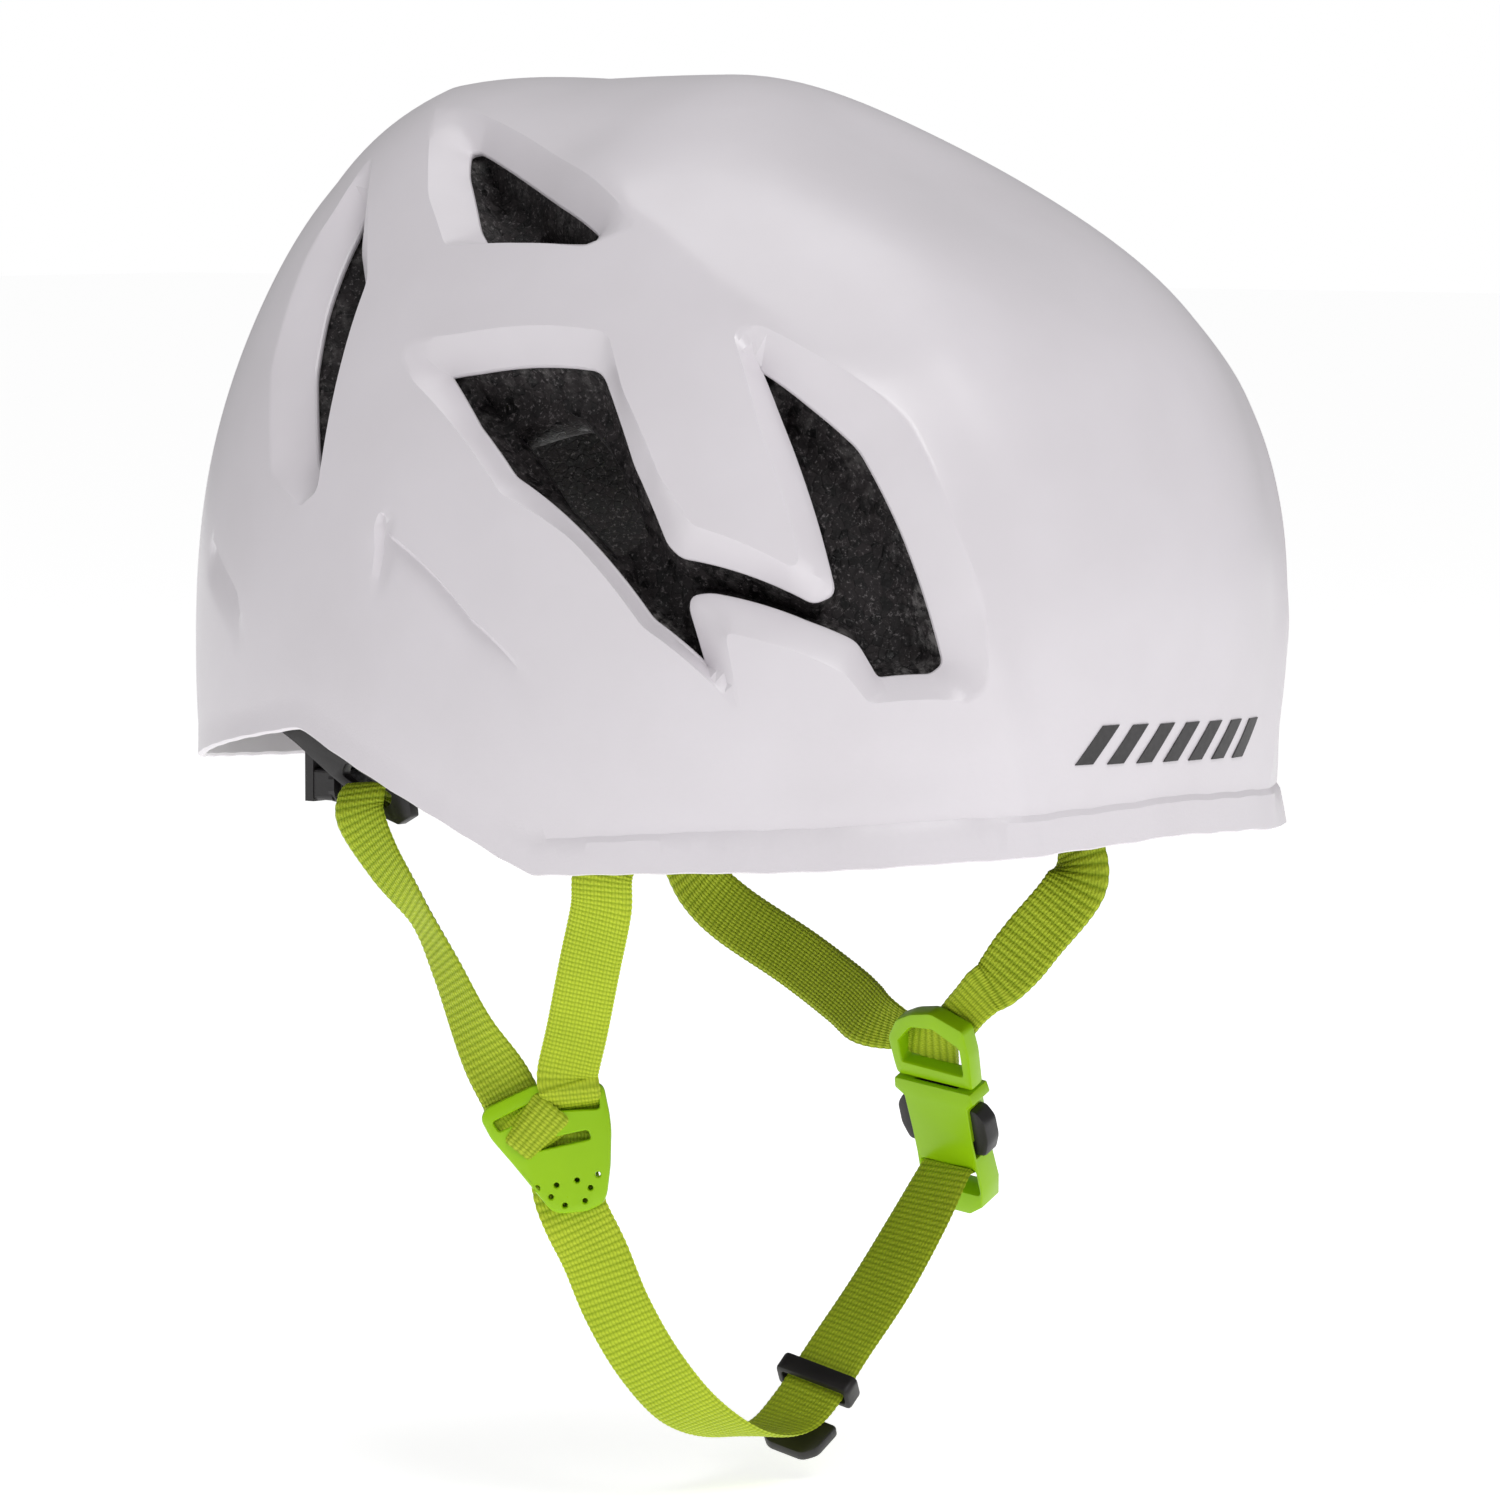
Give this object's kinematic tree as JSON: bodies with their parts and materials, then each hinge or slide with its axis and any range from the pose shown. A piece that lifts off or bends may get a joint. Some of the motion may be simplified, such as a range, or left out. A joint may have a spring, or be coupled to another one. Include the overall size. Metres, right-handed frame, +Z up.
{
  "type": "climbing helmet",
  "caption": "Vented hard-shell climbing helmet with a foam liner, folding dial cradle, strap wings, Y-strap divider and side-release chin buckle.",
  "frame": {"origin": "middle of the head cavity, at the height of the forehead, where the wearer's head holds the helmet", "axes": "+Z up, -Y is the way the wearer looks, -X is the wearer's right"},
  "size_m": [0.2274, 0.2826, 0.3421],
  "materials": {
    "shell": "white ABS, satin low down and glossier in the recesses",
    "foam": "black moulded bead foam",
    "padding": "brushed comfort padding",
    "black_plastic": "black moulded nylon",
    "knob_rubber": "soft grip",
    "gear_plastic": "natural acetal",
    "screw_steel": "zinc plated",
    "webbing": "lime green woven polyester webbing",
    "green_plastic": "green moulded acetal"
  },
  "bodies": {
    "helmet": {"outer_shell": "shell", "eps_liner": "foam", "crown_pad": "padding", "front_pad": "padding", "side_pad_right": "padding", "side_pad_left": "padding", "front_headband": "black_plastic", "cradle_pin_right": "black_plastic", "cradle_pin_left": "black_plastic", "wing_post_right": "black_plastic", "wing_post_left": "black_plastic", "strap_anchor_right": "black_plastic", "strap_anchor_left": "black_plastic", "front_strap_right": "webbing", "front_strap_left": "webbing", "rear_strap_right": "webbing", "rear_strap_left": "webbing", "divider_right": "green_plastic", "chin_strap": "webbing", "strap_end_tab": "black_plastic", "buckle_frame": "green_plastic", "buckle_tongue": "black_plastic"},
    "cradle": {"cradle_band": "black_plastic", "adjuster_housing": "black_plastic", "adjuster_cover": "black_plastic"},
    "knob": {"adjuster_knob": "knob_rubber", "pinion": "gear_plastic", "knob_screw": "screw_steel"},
    "rack_left": {"rack_left": "black_plastic", "nape_pad_left": "padding"},
    "rack_right": {"rack_right": "black_plastic", "nape_pad_right": "padding"},
    "wing_left": {"wing_left": "black_plastic"},
    "wing_right": {"wing_right": "black_plastic"},
    "socket": {"buckle_socket": "green_plastic"},
    "button_left": {"buckle_button_left": "black_plastic"},
    "button_right": {"buckle_button_right": "black_plastic"},
    "slider": {"strap_slider": "black_plastic"}
  },
  "joints": [
    {"name": "cradle_tilt", "type": "hinge", "parent": "helmet", "child": "cradle", "pos_m": [0, 0.012, -0.01], "axis": [-1, 0, 0], "range_deg": [0, 18]},
    {"name": "knob_spin", "type": "hinge", "parent": "cradle", "child": "knob", "pos_m": [0, 0.1073, -0.014], "axis": [0, 1, 0], "range_deg": [-60, 60]},
    {"name": "rack_left_slide", "type": "slide", "parent": "cradle", "child": "rack_left", "axis": [1, 0, 0], "range_m": [-0.0048, 0.0048]},
    {"name": "rack_right_slide", "type": "slide", "parent": "cradle", "child": "rack_right", "axis": [-1, 0, 0], "range_m": [-0.0048, 0.0048]},
    {"name": "wing_left_swing", "type": "hinge", "parent": "helmet", "child": "wing_left", "pos_m": [0.0828, 0.085, -0.004], "axis": [1, 0, 0], "range_deg": [-60, 0], "deforming": ["rear_strap_left"]},
    {"name": "wing_right_swing", "type": "hinge", "parent": "helmet", "child": "wing_right", "pos_m": [-0.0828, 0.085, -0.004], "axis": [1, 0, 0], "range_deg": [0, 60], "deforming": ["rear_strap_right"]},
    {"name": "buckle_release", "type": "slide", "parent": "helmet", "child": "socket", "axis": [0.4335, 0.126, -0.8923], "range_m": [0, 0.014], "deforming": ["chin_strap"]},
    {"name": "button_left_press", "type": "slide", "parent": "socket", "child": "button_left", "axis": [-0.0406, 0.9919, 0.1204], "range_m": [0, 0.0012], "stiffness_N_per_m": 300},
    {"name": "button_right_press", "type": "slide", "parent": "socket", "child": "button_right", "axis": [0.0406, -0.9919, -0.1204], "range_m": [0, 0.0012], "stiffness_N_per_m": 300},
    {"name": "slider_slide", "type": "slide", "parent": "helmet", "child": "slider", "axis": [0.7599, -0.01, 0.6499], "range_m": [0, 0.016]}
  ],
  "couplings": [
    {"joint": "rack_left_slide", "follows": "knob_spin", "m_per_rad": 0.0045},
    {"joint": "rack_right_slide", "follows": "knob_spin", "m_per_rad": 0.0045}
  ]
}
